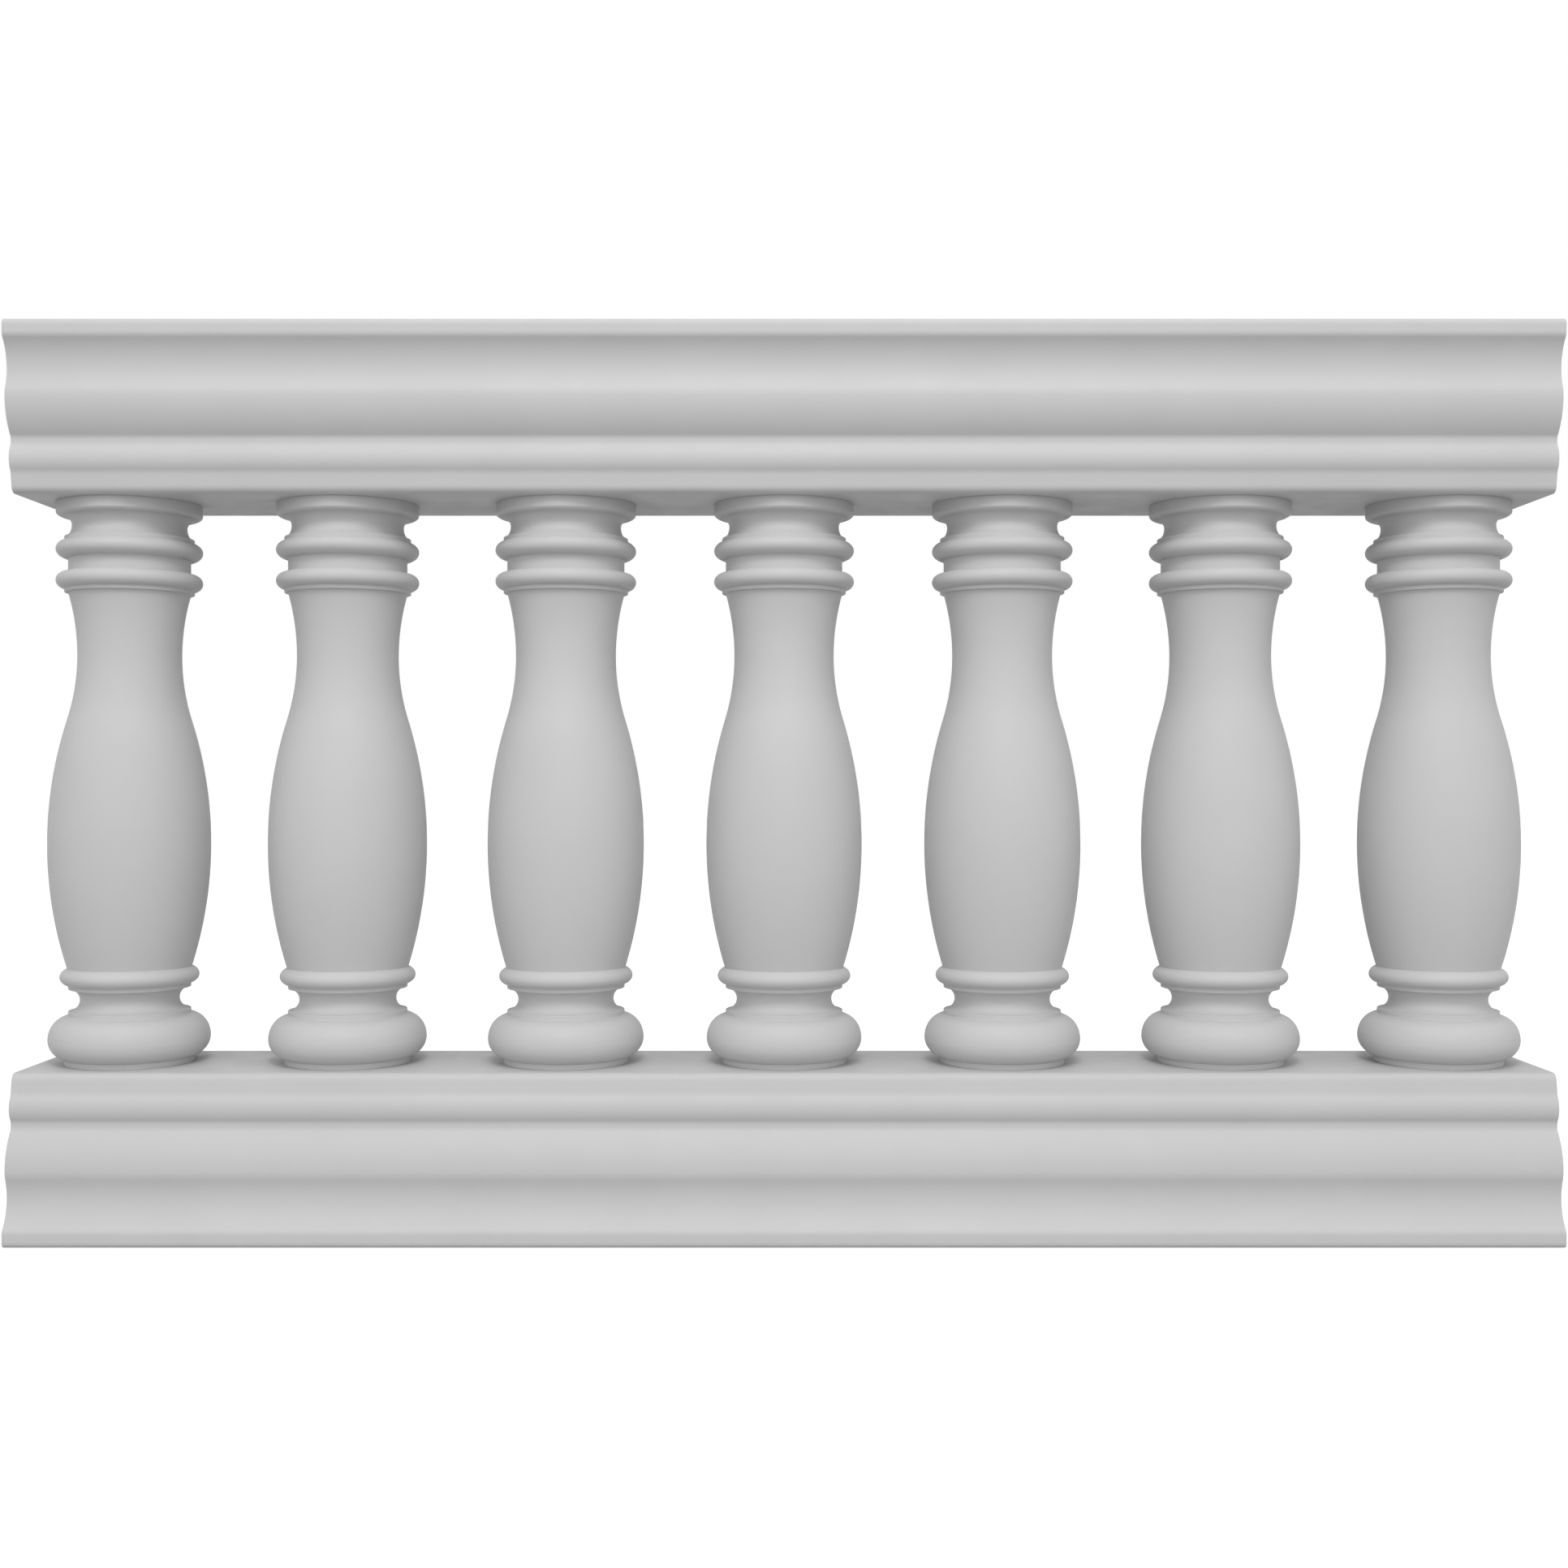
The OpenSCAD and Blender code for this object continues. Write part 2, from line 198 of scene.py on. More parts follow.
class ShapeDesk(NodeDesk):
    # a Geometry Nodes tree that takes an outline, the sizes named for it, and a finish
    def __init__(self, name, sizes):
        super().__init__(bpy.data.node_groups.new(name, "GeometryNodeTree"))
        self.tree.is_modifier = True
        self.socket("Outline", "Geometry")
        self.socket("Piece", "Geometry", "OUTPUT")
        for label, usual in sizes.items():
            self.socket(label, "Int" if isinstance(usual, int) else "Float").default_value = usual
        self.socket("Crease angle", "Float").default_value = creaseAngle
        self.socket("Finish", "Material")
        self.entry = self.node("NodeGroupInput")

    def socket(self, label, kind, way="INPUT"):
        return self.tree.interface.new_socket(label, in_out=way, socket_type="NodeSocket" + kind)

    def given(self, label):
        return self.entry.outputs[label]

    def vector(self, **parts):
        return self.add("ShaderNodeCombineXYZ", parts)

    def close(self, geometry):
        # smooth faces with creases at the real arrises, then one real mesh in one finish
        smooth = self.add("GeometryNodeSetShadeSmooth",
                          {"Geometry": geometry, "Shade Smooth": True}, domain="FACE")
        bend = self.node("GeometryNodeInputMeshEdgeAngle").outputs["Unsigned Angle"]
        crisp = self.add("FunctionNodeCompare", {0: bend, 1: self.given("Crease angle")},
                         data_type="FLOAT", operation="GREATER_THAN")
        creased = self.add("GeometryNodeSetShadeSmooth",
                           {"Geometry": smooth, "Selection": crisp, "Shade Smooth": False}, domain="EDGE")
        real = self.add("GeometryNodeRealizeInstances", {"Geometry": creased})
        finished = self.add("GeometryNodeSetMaterial",
                            {"Geometry": real, "Material": self.given("Finish")})
        self.node("NodeGroupOutput", {"Piece": finished})
        return self.tree


def mouldingTree():
    # runs an outline of width (x) and height (y) along the bay, with a row of holes drilled in its web
    desk = ShapeDesk("mouldingAlongBay", {
        "Length": 1.5, "Parts": 12, "Level": 0.0, "Way up": 1.0,
        "Hole count": 0, "Hole sides": 48, "Hole pitch": 0.2, "Hole diameter": 0.01, "Hole depth": 0.02})
    start = desk.vector(X=desk.maths("MULTIPLY", desk.given("Length"), -0.5))
    stop = desk.vector(X=desk.maths("MULTIPLY", desk.given("Length"), 0.5))
    line = desk.add("GeometryNodeCurvePrimitiveLine", {"Start": start, "End": stop}, mode="POINTS")
    count = desk.maths("ADD", desk.given("Parts"), 1.0)
    path = desk.add("GeometryNodeResampleCurve", {"Curve": line, "Count": count}, mode="COUNT")
    path = desk.add("GeometryNodeSetCurveNormal", {"Curve": path}, mode="Z_UP")
    section = desk.add("GeometryNodeMeshToCurve", {"Mesh": desk.given("Outline")})
    swept = desk.add("GeometryNodeCurveToMesh",
                     {"Curve": path, "Profile Curve": section, "Fill Caps": True})
    wayUp = desk.vector(X=1.0, Y=1.0, Z=desk.given("Way up"))
    lift = desk.vector(Z=desk.given("Level"))
    placed = desk.add("GeometryNodeTransform",
                      {"Geometry": swept, "Translation": lift, "Scale": wayUp})
    # one hole for each tie rod
    gaps = desk.maths("SUBTRACT", desk.given("Hole count"), 1.0)
    rowLength = desk.maths("MULTIPLY", desk.given("Hole pitch"), gaps)
    first = desk.vector(X=desk.maths("MULTIPLY", rowLength, -0.5), Z=desk.given("Level"))
    pitch = desk.vector(X=desk.given("Hole pitch"))
    row = desk.add("GeometryNodeMeshLine",
                   {"Count": desk.given("Hole count"), "Start Location": first, "Offset": pitch},
                   mode="OFFSET")
    radius = desk.maths("MULTIPLY", desk.given("Hole diameter"), 0.5)
    drill = desk.add("GeometryNodeMeshCylinder",
                     {"Vertices": desk.given("Hole sides"), "Radius": radius,
                      "Depth": desk.given("Hole depth")}, fill_type="NGON")
    drills = desk.add("GeometryNodeInstanceOnPoints", {"Points": row, "Instance": drill})
    cut = desk.add("GeometryNodeMeshBoolean", {0: placed, 1: drills},
                   operation="DIFFERENCE", solver="EXACT")
    drilled = desk.add("FunctionNodeCompare", {2: desk.given("Hole count"), 3: 0},
                       data_type="INT", operation="GREATER_THAN")
    chosen = desk.add("GeometryNodeSwitch", {"Switch": drilled, "False": placed, "True": cut},
                      input_type="GEOMETRY")
    return desk.close(chosen)


def turningTree():
    # turns an outline of radius (x) and height (y) about its axis, and stands it in its place in the bay
    desk = ShapeDesk("turnedOnAxis", {"Sides": 128, "Core radius": 0.02, "Place": 0.0, "Level": 0.0})
    ring = desk.add("GeometryNodeCurvePrimitiveCircle",
                    {"Resolution": desk.given("Sides"), "Radius": desk.given("Core radius")}, mode="RADIUS")
    ring = desk.add("GeometryNodeSetCurveNormal", {"Curve": ring}, mode="Z_UP")
    section = desk.add("GeometryNodeMeshToCurve", {"Mesh": desk.given("Outline")})
    turned = desk.add("GeometryNodeCurveToMesh", {"Curve": ring, "Profile Curve": section})
    place = desk.vector(X=desk.given("Place"), Z=desk.given("Level"))
    stood = desk.add("GeometryNodeTransform", {"Geometry": turned, "Translation": place})
    return desk.close(stood)


def grow(name, outline, tree, values):
    # an outline in metres goes in, a plain finished mesh comes out; a swept outline's own y axis runs down
    seed = bpy.data.meshes.new(name + "Outline")
    count = len(outline)
    seed.from_pydata([(p[0], -p[1], 0) for p in outline], [(i, (i + 1) % count) for i in range(count)], [])
    piece = bpy.data.objects.new(name, seed)
    scene.collection.objects.link(piece)
    growth = piece.modifiers.new("growth", "NODES")
    growth.node_group = tree
    values["Crease angle"] = creaseAngle
    for item in tree.interface.items_tree:
        if item.item_type == "SOCKET" and item.in_out == "INPUT" and item.name in values:
            growth[item.identifier] = values[item.name]
    depsgraph = bpy.context.evaluated_depsgraph_get()
    grown = bpy.data.meshes.new_from_object(piece.evaluated_get(depsgraph), depsgraph=depsgraph)
    piece.modifiers.clear()
    piece.data = grown
    return piece


def tidyMesh(piece, endSoftness=0.0, doubles=1e-6, flush=1e-5):
    # merges doubles, softens the arris round both cut ends, and turns every face outwards
    work = bmesh.new()
    work.from_mesh(piece.data)
    bmesh.ops.remove_doubles(work, verts=work.verts, dist=doubles)
    if endSoftness:
        reach = max(abs(v.co.x) for v in work.verts)
        ends = [e for e in work.edges
                if all(abs(abs(v.co.x) - reach) < flush for v in e.verts)
                and any(abs(f.normal.x) < 0.5 for f in e.link_faces)]
        bmesh.ops.bevel(work, geom=ends, offset=endSoftness, segments=2, profile=0.5,
                        affect="EDGES", clamp_overlap=True)
    bmesh.ops.recalc_face_normals(work, faces=work.faces)
    openEdges = sum(1 for e in work.edges if len(e.link_faces) != 2)
    volume = work.calc_volume()
    if volume < 0:
        bmesh.ops.reverse_faces(work, faces=work.faces)
    work.to_mesh(piece.data)
    litres = round(abs(volume) * 1000, 3)
    print(" ", piece.name, len(work.faces), "faces,", openEdges, "open edges,", litres, "litres")
    work.free()


def handOver(piece, node):
    # the smooth piece stands in for its CAD node
    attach(piece, "root")
    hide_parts(node)


class FinishDesk(NodeDesk):
    # a material on object coordinates, so that its patterns keep their real size on every piece
    def __init__(self, name):
        self.material = bpy.data.materials.new(name)
        self.material.use_nodes = True
        super().__init__(self.material.node_tree)
        self.place = self.node("ShaderNodeTexCoord").outputs["Object"]

    def noise(self, scale, detail=2.0, rough=0.5, distort=0.0):
        return self.node("ShaderNodeTexNoise", {
            "Vector": self.place, "Scale": scale, "Detail": detail,
            "Roughness": rough, "Distortion": distort}).outputs["Fac"]

    def blendColours(self, share, low, high):
        return self.node("ShaderNodeMix", {"Factor": share, "A": (*low, 1), "B": (*high, 1)},
                         data_type="RGBA").outputs["Result"]

    def bump(self, height, depth, below=None):
        joins = {"Height": height, "Distance": depth, "Strength": 1.0}
        if below is not None:
            joins["Normal"] = below
        return self.node("ShaderNodeBump", joins).outputs["Normal"]

    def finish(self, joins):
        self.join(self.tree.nodes["Principled BSDF"], joins)
        return self.material


gelcoatLook = {
    "light": (0.585, 0.585, 0.585),
    "dark": (0.565, 0.565, 0.565),
    "mottleScale": 9.0,      # cloudy tone, about 100 mm across
    "peelScale": 420.0,      # orange peel, 2 to 3 mm across
    "peelDepth": 0.00002,
    "waveScale": 16.0,       # long waves of the mould
    "waveDepth": 0.00012,
    "sheenScale": 45.0,      # patches of roughness, about 20 mm across
    "roughness": (0.5, 0.62),
    "ior": 1.45,
    "specular": 0.35,
}


def gelcoatFinish(look):
    desk = FinishDesk("gelcoat")
    tone = desk.spread(desk.noise(look["mottleScale"], detail=4, rough=0.55), 0, 1)
    sheen = desk.noise(look["sheenScale"], detail=3)
    waves = desk.bump(desk.noise(look["waveScale"], detail=1), look["waveDepth"])
    return desk.finish({
        "Base Color": desk.blendColours(tone, look["dark"], look["light"]),
        "Roughness": desk.spread(sheen, *look["roughness"]),
        "Normal": desk.bump(desk.noise(look["peelScale"], detail=1), look["peelDepth"], waves),
        "IOR": look["ior"],
        "Specular IOR Level": look["specular"]})


laminateLook = {
    "resin": (0.40, 0.40, 0.385),
    "glass": (0.47, 0.47, 0.45),
    "strandScale": 180.0,
    "strandReach": 0.25,     # how far a strand's tone spreads into the resin
    "patchScale": 22.0,
    "grindDepth": 0.00015,
    "gritScale": 600,
    "gritDepth": 0.00005,
    "roughness": (0.62, 0.8),
}


def laminateFinish(look):
    desk = FinishDesk("groundLaminate")
    strands = desk.node("ShaderNodeTexVoronoi", {"Vector": desk.place, "Scale": look["strandScale"]},
                        feature="DISTANCE_TO_EDGE").outputs["Distance"]
    weave = desk.spread(strands, 0, 1, fromLow=0.0, fromHigh=look["strandReach"])
    patches = desk.spread(desk.noise(look["patchScale"], detail=5, rough=0.6, distort=0.4), 0, 1)
    both = desk.maths("MULTIPLY", weave, patches)
    grit = desk.bump(desk.noise(look["gritScale"]), look["gritDepth"])
    return desk.finish({
        "Base Color": desk.blendColours(both, look["resin"], look["glass"]),
        "Roughness": desk.spread(patches, *look["roughness"], fromLow=0, fromHigh=1),
        "Normal": desk.bump(both, look["grindDepth"], grit)})


zincLook = {
    "bright": (0.50, 0.51, 0.53),
    "dull": (0.38, 0.39, 0.41),
    "spangleScale": 260.0,
    "sheenScale": 780.0,
    "grainScale": 520.0,
    "grainDepth": 0.00004,
    "roughness": (0.3, 0.5),
}


def zincFinish(look):
    desk = FinishDesk("zinc")
    spangle = desk.spread(desk.noise(look["spangleScale"]), 0, 1)
    sheen = desk.noise(look["sheenScale"], detail=1)
    return desk.finish({
        "Base Color": desk.blendColours(spangle, look["dull"], look["bright"]),
        "Roughness": desk.spread(sheen, *look["roughness"]),
        "Normal": desk.bump(desk.noise(look["grainScale"], detail=1), look["grainDepth"]),
        "Metallic": 1.0})


gelcoat = gelcoatFinish(gelcoatLook)
laminate = laminateFinish(laminateLook)
zinc = zincFinish(zincLook)
print("finishes made")

alongBay = mouldingTree()
onAxis = turningTree()

railSizes = {
    "webWidth": 170,
    "webEdgeRadius": 8,
    "bandHeight": 21,
    "bandProjection": 2,
    "beadHeight": 26.4,
    "beadProjection": 6.6,
    "filletHeight": 8,
    "filletProjection": 1.6,
    "bulgeHeight": 39,
    "bulgeProjection": 16.7,
    "turnHeight": 26.6,
    "turnShare": 0.66,
    "coveProjection": 11.3,
    "coveRadius": 45,
    "fasciaProjection": 23.9,
    "fasciaHeight": 14,
    "fasciaEdgeRadius": 5,
    "outerEdgeRadius": 4.5,
    "wall": 5,
    "webThickness": 6,
    "coverThickness": 6,
    "coverLip": 6,
    "coverLedge": 6,
    "mouldSoftness": 2.5,    # rounding of the moulding's corners, along its face
    "cornerSoftness": 0.6,
    "endSoftness": 0.7,
    "rodHoleDiameter": 13.6,
    "rodHoleSides": 48,
    "drillLength": 24,
    "parts": 14,             # stretches along the bay, which keep the faces from being slivers
}


def railOutline(size):
    # distance out from the rail's middle, and distance from the outside of its web
    webHalf = size["webWidth"] / 2
    beadHalf = size["beadHeight"] / 2
    beadEnd = size["bandHeight"] + size["beadHeight"]
    bulgeFoot = beadEnd + size["filletHeight"]
    bulgeCrest = bulgeFoot + size["bulgeHeight"]
    coveLine = bulgeCrest + size["turnHeight"]
    beadFace = webHalf + size["beadProjection"]
    filletFace = webHalf + size["filletProjection"]
    bulgeHalf = webHalf + size["bulgeProjection"]
    coveHalf = webHalf + size["coveProjection"]
    fasciaHalf = webHalf + size["fasciaProjection"]
    beadRadius = arcRadius(beadHalf, size["beadProjection"] - size["bandProjection"])
    beadLean = leanOf(beadHalf, beadRadius)
    bulgeRadius = arcRadius(size["bulgeHeight"], size["bulgeProjection"] - size["filletProjection"])
    bulgeLean = leanOf(size["bulgeHeight"], bulgeRadius)
    turnRadius = arcRadius(size["turnHeight"], size["bulgeProjection"] - size["coveProjection"])
    turnLean = leanOf(size["turnHeight"], turnRadius)
    crestRadius = turnRadius * (1 - size["turnShare"])
    hollowRadius = turnRadius * size["turnShare"]
    edge, outer, wall = size["webEdgeRadius"], size["outerEdgeRadius"], size["wall"]
    cove, nose = size["coveRadius"], size["fasciaEdgeRadius"]
    coveLean = angleAt(1 - (fasciaHalf - coveHalf) / (cove + nose))
    fasciaFoot = coveLine + (cove + nose) * math.sin(math.radians(coveLean))
    railHeight = fasciaFoot + size["fasciaHeight"]
    coverHalf = fasciaHalf - size["coverLip"]
    coverLevel = railHeight - size["coverThickness"]

    # outside, from the web to the fascia
    side = roundArc((webHalf - edge, edge), edge, -90, 0)
    side += roundArc((beadFace - beadRadius, (size["bandHeight"] + beadEnd) / 2), beadRadius,
                     -beadLean, beadLean, steps=14)
    side += [(filletFace, beadEnd), (filletFace, bulgeFoot)]
    side += roundArc((bulgeHalf - bulgeRadius, bulgeCrest), bulgeRadius, -bulgeLean, 0, steps=18)
    side += roundArc((bulgeHalf - crestRadius, bulgeCrest), crestRadius, 0, turnLean, steps=6)[1:]
    side += roundArc((coveHalf + hollowRadius, coveLine), hollowRadius, 180 + turnLean, 180, steps=8)[1:]
    side += roundArc((coveHalf + cove, coveLine), cove, 180, 180 - coveLean, steps=14)[1:]
    side += roundArc((fasciaHalf - nose, fasciaFoot), nose, -coveLean, 0, steps=8)[1:]
    side += roundArc((fasciaHalf - outer, railHeight - outer), outer, 0, 90)
    side = eased(side, size["mouldSoftness"])
    # ledge for the cover, then the inside back to the web
    side += [(coverHalf, railHeight), (coverHalf, coverLevel), (coverHalf - size["coverLedge"], coverLevel),
             (coveHalf - wall, coveLine + wall), (coveHalf - wall, coveLine - wall),
             (bulgeHalf - wall, bulgeCrest), (webHalf - wall, bulgeFoot + wall),
             (webHalf - wall, size["webThickness"])]
    whole = side + [(-x, y) for x, y in reversed(side)]
    return [(x * mm, y * mm) for x, y in softCorners(whole, size["cornerSoftness"])]


def middleOf(node):
    low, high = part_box(node)
    return (low.x + high.x) / 2


def makeRail(name, node, wayUp, size):
    low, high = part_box(node)
    rods = sorted(middleOf(n) for n in cadNodes if n.startswith("tie_rod"))
    rail = grow(name, railOutline(size), alongBay, {
        "Length": high.x - low.x,
        "Parts": size["parts"],
        "Level": low.z if wayUp > 0 else high.z,
        "Way up": float(wayUp),
        "Hole count": len(rods),
        "Hole sides": size["rodHoleSides"],
        "Hole pitch": (rods[-1] - rods[0]) / (len(rods) - 1),
        "Hole diameter": size["rodHoleDiameter"] * mm,
        "Hole depth": size["drillLength"] * mm,
        "Finish": gelcoat})
    tidyMesh(rail, size["endSoftness"] * mm)
    handOver(rail, node)


makeRail("topRail", "top_rail", 1, railSizes)
makeRail("bottomRail", "bottom_rail", -1, railSizes)
print("rails made")

coverSizes = {
    "edgeRadius": 1.2,
    "edgeSteps": 6,
    "endSoftness": 0.7,
    "parts": 14,
}


def makeCover(size):
    low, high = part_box("top_cover")
    half, thick = high.y / mm, (high.z - low.z) / mm
    corners = [(half, 0), (half, thick), (-half, thick), (-half, 0)]
    corners = softCorners(corners, size["edgeRadius"], steps=size["edgeSteps"])
    cover = grow("topCover", [(x * mm, y * mm) for x, y in corners], alongBay, {
        "Length": high.x - low.x,
        "Parts": size["parts"],
        "Level": low.z,
        "Way up": 1.0,
        "Hole count": 0,
        "Finish": gelcoat})
    tidyMesh(cover, size["endSoftness"] * mm)
    handOver(cover, "top_cover")


makeCover(coverSizes)
print("top cover made")

balusterSizes = {
    "plinthRadius": 64.5,
    "plinthHeight": 5.6,
    "torusRadius": 80.4,
    "torusCore": 59.5,
    "torusDrop": 20.4,
    "torusRise": 24.2,
    "footFilletRadius": 60.6,
    "lowerFilletHeight": 4.7,
    "scotiaCurve": 11.4,
    "upperFilletHeight": 3.7,
    "footBeadRadius": 68.9,
    "footBeadCore": 57.4,
    "footBeadHalf": 9.2,
    "shaftFootRadius": 61.6,
    "bellyHeight": 226,
    "bellyRadius": 80.7,
    "waistDepth": 157,
    "waistRadius": 51.6,
    "waistShare": 0.34,
    "shaftTopRadius": 60.5,
    "collarRadius": 64.2,
    "shaftCollarHeight": 3.8,
    "capBeadRadius": 72.6,
    "neckBeadCore": 63.4,
    "neckBeadHalf": 8.5,
    "drumRadius": 60.5,
    "drumHeight": 14.2,
    "capBeadCore": 60.5,
    "capBeadHalf": 9.4,
    "throatCollarHeight": 3.9,
    "throatLower": 12.2,
    "throatUpper": 8.7,
    "throatRadius": 56.9,
    "abacusRadius": 72.4,
    "abacusHeight": 14.3,
    "abacusEdgeWidth": 8,
    "abacusEdgeHeight": 4.5,
    "wall": 5,
    "cornerSoftness": 0.5,
    "sides": 144,
    "coreRadius": 20,        # ring that the outline is swept along
}


def balusterOutline(size, height):
    # radius, and height over the deck; each bead is (half height, core radius, full radius)
    plinth, fillet, collar = size["plinthRadius"], size["footFilletRadius"], size["collarRadius"]
    torus = (size["torusCore"], size["torusRadius"])
    footBead = (size["footBeadHalf"], size["footBeadCore"], size["footBeadRadius"])
    neckBead = (size["neckBeadHalf"], size["neckBeadCore"], size["capBeadRadius"])
    capBead = (size["capBeadHalf"], size["capBeadCore"], size["capBeadRadius"])
    scotia, throat, upper = size["scotiaCurve"], size["throatRadius"], size["throatUpper"]
    # levels from the foot up to the shaft
    torusLine = size["plinthHeight"] + beadReach(size["torusDrop"], *torus, plinth)
    torusEnd = torusLine + beadReach(size["torusRise"], *torus, fillet)
    scotiaLine = torusEnd + size["lowerFilletHeight"] + scotia
    footBeadLine = scotiaLine + scotia + size["upperFilletHeight"] + beadReach(*footBead, fillet)
    shaftFoot = footBeadLine + beadReach(*footBead, size["shaftFootRadius"])
    # levels from the top down to the shaft
    throatLine = height - size["abacusHeight"] - upper
    throatFoot = throatLine - size["throatLower"]
    capBeadLine = throatFoot - size["throatCollarHeight"] - beadReach(*capBead, collar)
    drumTop = capBeadLine - beadReach(*capBead, size["drumRadius"])
    neckBeadLine = drumTop - size["drumHeight"] - size["neckBeadHalf"]
    shaftTop = neckBeadLine - size["shaftCollarHeight"] - beadReach(*neckBead, collar)
    # the shaft's three curves
    belly, bellyLine = size["bellyRadius"], size["bellyHeight"]
    waist, waistLine = size["waistRadius"], height - size["waistDepth"]
    bellyCurve = arcRadius(bellyLine - shaftFoot, belly - size["shaftFootRadius"])
    bellyLean = leanOf(bellyLine - shaftFoot, bellyCurve)
    turnCurve = arcRadius(waistLine - bellyLine, belly - waist)
    turnLean = leanOf(waistLine - bellyLine, turnCurve)
    waistCurve = turnCurve * size["waistShare"]
    bellyTurn = turnCurve * (1 - size["waistShare"])
    topCurve = arcRadius(shaftTop - waistLine, size["shaftTopRadius"] - waist)
    topLean = leanOf(shaftTop - waistLine, topCurve)

    def lowerShaft(wall, steps):
        up = roundArc((belly - bellyCurve, bellyLine), bellyCurve - wall, -bellyLean, 0, steps)
        up += roundArc((belly - bellyTurn, bellyLine), bellyTurn - wall, 0, turnLean, steps)[1:]
        up += roundArc((waist + waistCurve, waistLine), waistCurve + wall, 180 + turnLean, 180, steps)[1:]
        return up

    core, full = torus
    side = [(plinth, 0)]
    side += arc((core, torusLine), (full - core, size["torusDrop"]),
                -angleAt((plinth - core) / (full - core)), 0, steps=14)
    side += arc((core, torusLine), (full - core, size["torusRise"]),
                0, angleAt((fillet - core) / (full - core)), steps=14)[1:]
    side += roundArc((fillet, scotiaLine), scotia, 270, 90, steps=18)
    side += bead(footBeadLine, *footBead, fillet, size["shaftFootRadius"])
    side += lowerShaft(0, steps=20)
    side += roundArc((waist + topCurve, waistLine), topCurve, 180, 180 - topLean, steps=14)[1:]
    side += [(collar, shaftTop)]
    side += bead(neckBeadLine, *neckBead, collar, size["neckBeadCore"])
    side += [(size["drumRadius"], neckBeadLine + size["neckBeadHalf"])]
    side += bead(capBeadLine, *capBead, size["drumRadius"], collar)
    side += arc((collar, throatLine), (collar - throat, size["throatLower"]), 270, 180, steps=12)
    side += roundArc((throat + upper, throatLine), upper, 180, 90)[1:]
    abacusLine = height - size["abacusHeight"] + size["abacusEdgeHeight"]
    side += arc((size["abacusRadius"] - size["abacusEdgeWidth"], abacusLine),
                (size["abacusEdgeWidth"], size["abacusEdgeHeight"]), -90, 0)
    side += [(size["abacusRadius"], height)]
    bore = fillet - scotia - size["wall"]
    inside = [(bore, 0), (bore, footBeadLine)]
    inside += lowerShaft(size["wall"], steps=8)
    inside += [(waist - size["wall"], height)]
    return [(x * mm, y * mm) for x, y in softCorners(side + inside[::-1], size["cornerSoftness"])]


def makeBaluster(node, size):
    low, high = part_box(node)
    core = size["coreRadius"] * mm
    outline = [(r - core, z) for r, z in balusterOutline(size, (high.z - low.z) / mm)]
    baluster = grow(node.replace("_", ""), outline, onAxis, {
        "Sides": size["sides"],
        "Core radius": core,
        "Place": middleOf(node),
        "Level": low.z,
        "Finish": gelcoat})
    tidyMesh(baluster)
    handOver(baluster, node)


for balusterNode in sorted(n for n in cadNodes if n.startswith("baluster_")):
    makeBaluster(balusterNode, balusterSizes)
print("balusters made")

plateFinishes = {"_plate": laminate, "tie_rod": zinc}
for nodeName, node in cadNodes.items():
    for mark, finish in plateFinishes.items():
        if mark in nodeName:
            for place in node.material_slots:
                place.material = finish
print("plates and rods finished")

studio = {
    "cameraDistance": 1.968,
    "cameraDrop": 0.0008,
    "fieldOfView": 45.0,
    "viewDepth": 100,
    "floorSize": 40.0,
    "floorGap": 0.0005,      # keeps the floor clear of the base plate's face
    "floorTone": 0.45,       # what the floor gives back to the object
    "floorGlow": 0.82,       # brings the floor up to white, and leaves a faint shadow at the foot
    "keyStrength": 0.85,
    "keyElevation": 46.0,
    "keyDistance": 3.0,
    "keySize": 0.8,
    "skyLevel": 0.6,         # one half of the sky is lit, turned to the front and upwards
    "skyElevation": 30.0,
    "skyEdge": 0.2,
    "frontLevel": 0.76,      # light that is strongest straight from the front
    "backLevel": 0.22,
    "backdrop": 1.0,         # plain white, where the sky is seen
}


def makeCamera(look):
    low, high = cadBox
    middle = (low + high) / 2
    camera = bpy.data.objects.new("camera", bpy.data.cameras.new("camera"))
    scene.collection.objects.link(camera)
    camera.location = (middle.x, middle.y - look["cameraDistance"], middle.z - look["cameraDrop"])
    camera.rotation_euler = (math.radians(90), 0, 0)
    camera.data.angle = math.radians(look["fieldOfView"])
    camera.data.clip_end = look["viewDepth"]
    scene.camera = camera


def makeKey(look):
    # a softbox above the camera, turned to the middle of the bay
    key = bpy.data.objects.new("key", bpy.data.lights.new("key", "AREA"))
    scene.collection.objects.link(key)
    low, high = cadBox
    angle = math.radians(look["keyElevation"])
    reach = Vector((0, -math.cos(angle), math.sin(angle))) * look["keyDistance"]
    key.location = (low + high) / 2 + reach
    key.rotation_euler = (math.radians(90) - angle, 0, 0)
    key.data.size = look["keySize"]
    key.data.energy = look["keyStrength"] * math.pi * look["keyDistance"] ** 2
    key.visible_camera = False


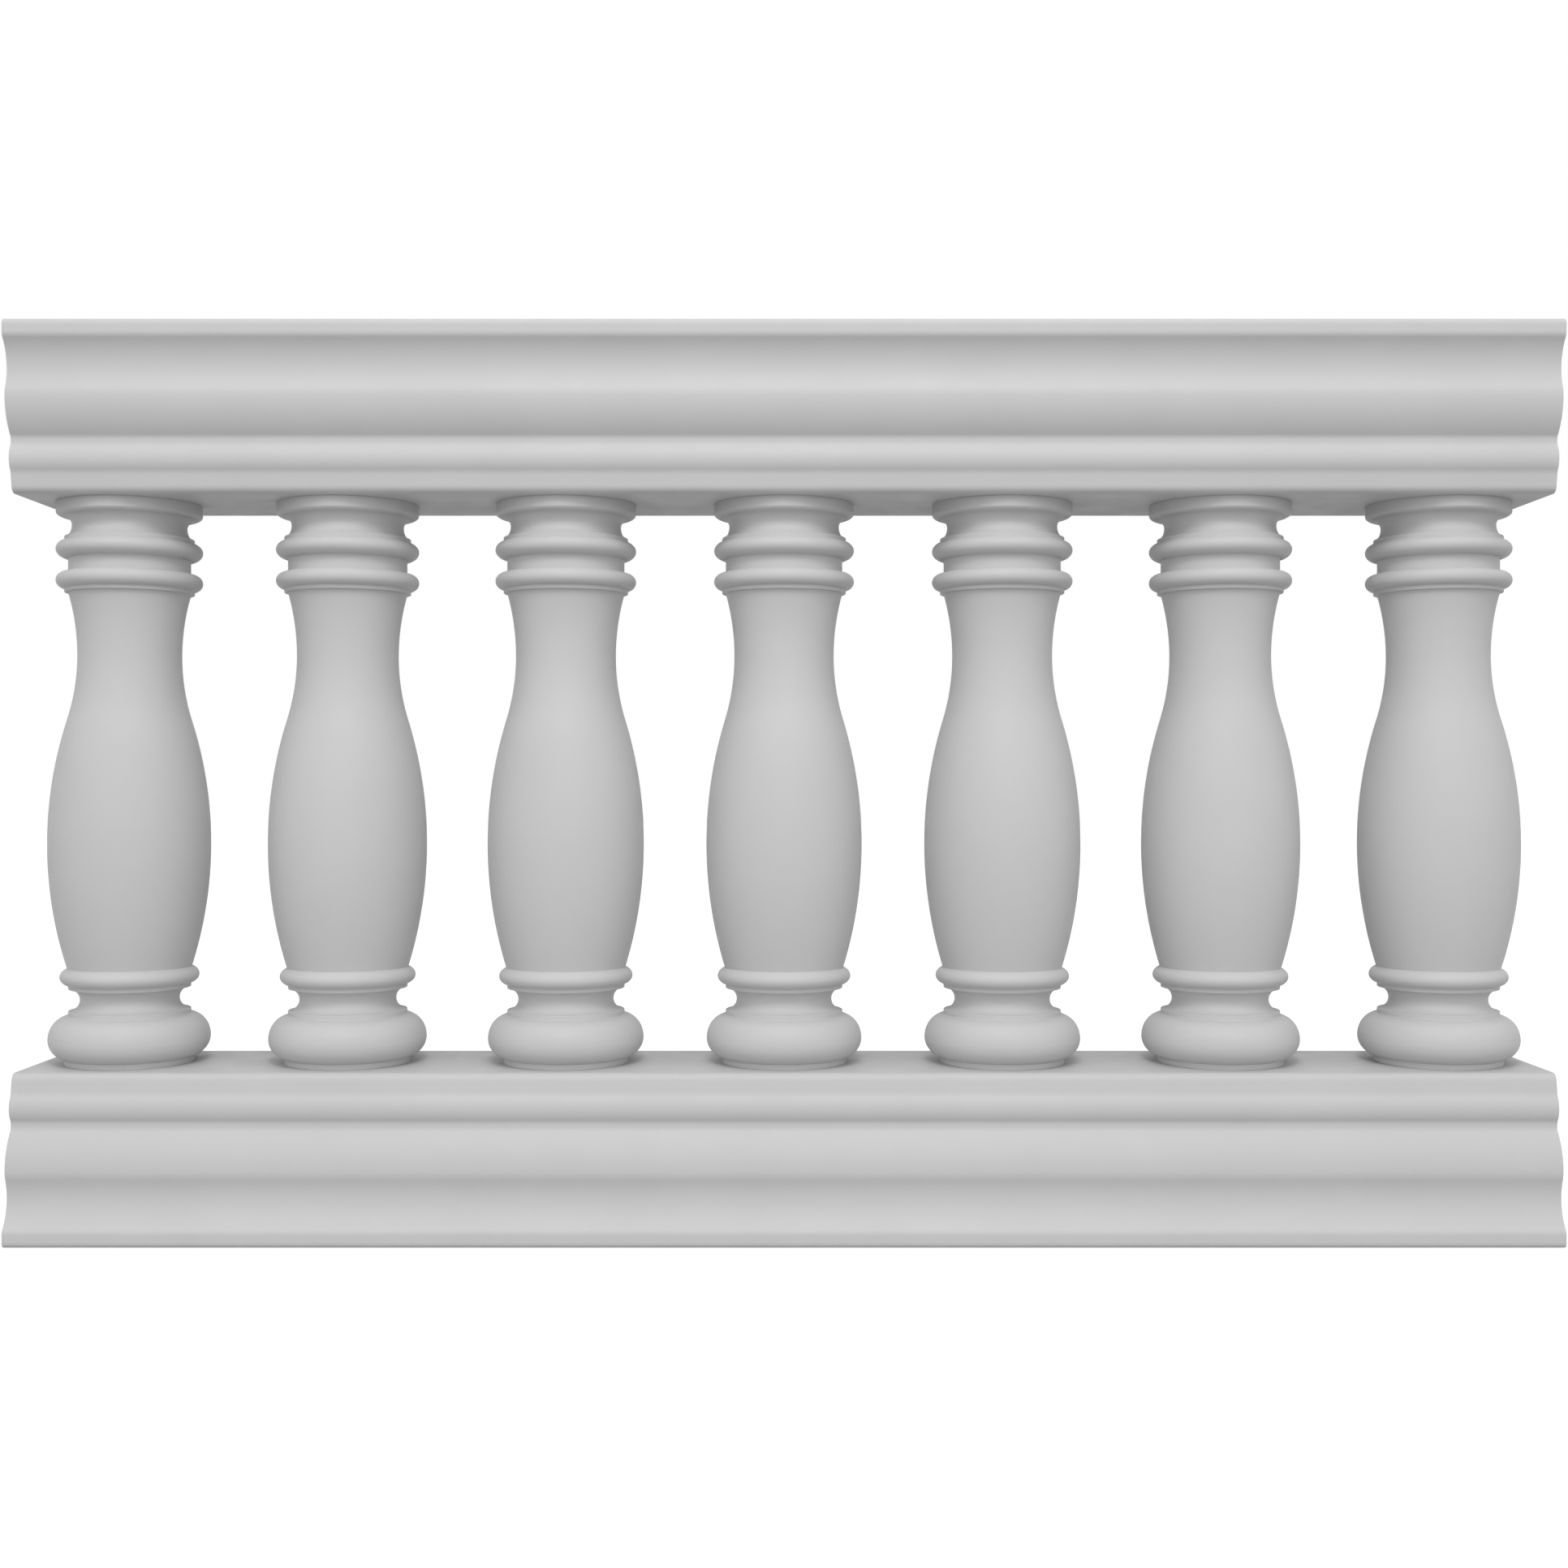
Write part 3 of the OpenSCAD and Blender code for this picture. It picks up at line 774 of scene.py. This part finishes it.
def makeFloor(look):
    half = look["floorSize"] / 2
    corners = [(-half, -half, 0), (half, -half, 0), (half, half, 0), (-half, half, 0)]
    floorMesh = bpy.data.meshes.new("floor")
    floorMesh.from_pydata(corners, [], [(0, 1, 2, 3)])
    floor = bpy.data.objects.new("floor", floorMesh)
    floor.location.z = cadBox[0].z - look["floorGap"]
    scene.collection.objects.link(floor)
    paper = bpy.data.materials.new("paleFloor")
    paper.use_nodes = True
    paper.node_tree.nodes.clear()
    desk = NodeDesk(paper.node_tree)
    tone = look["floorTone"]
    dull = desk.add("ShaderNodeBsdfDiffuse", {"Color": (tone, tone, tone, 1)})
    glow = desk.add("ShaderNodeEmission", {"Strength": look["floorGlow"]})
    white = desk.add("ShaderNodeAddShader", {0: dull, 1: glow})
    shown = desk.add("ShaderNodeMixShader", {0: desk.seenDirectly(), 1: dull, 2: white})
    desk.node("ShaderNodeOutputMaterial", {"Surface": shown})
    floorMesh.materials.append(paper)


def makeWorld(look):
    world = bpy.data.worlds.new("studio")
    scene.world = world
    world.use_nodes = True
    desk = NodeDesk(world.node_tree)
    direction = desk.node("ShaderNodeTexCoord").outputs["Generated"]

    def facing(elevation, low, high, level):
        # level where a ray runs towards the elevation in front of the bay, none where it runs away from it
        angle = math.radians(elevation)
        aim = (0, -math.cos(angle), math.sin(angle))
        toward = desk.node("ShaderNodeVectorMath", {0: direction, 1: aim}, operation="DOT_PRODUCT")
        return desk.spread(toward.outputs["Value"], 0.0, level, fromLow=low, fromHigh=high)

    lit = facing(look["skyElevation"], -look["skyEdge"], look["skyEdge"], look["skyLevel"])
    lit = desk.maths("ADD", lit, facing(0, 0, 1, look["frontLevel"]))
    lit = desk.maths("ADD", lit, facing(180, 0, 1, look["backLevel"]))
    shown = desk.node("ShaderNodeMix", {"Factor": desk.seenDirectly(), "A": lit, "B": look["backdrop"]},
                      data_type="FLOAT").outputs["Result"]
    desk.join(desk.tree.nodes["Background"], {"Color": (1, 1, 1, 1), "Strength": shown})


makeCamera(studio)
makeKey(studio)
makeFloor(studio)
makeWorld(studio)
scene.view_settings.view_transform = "Standard"
print("studio made")
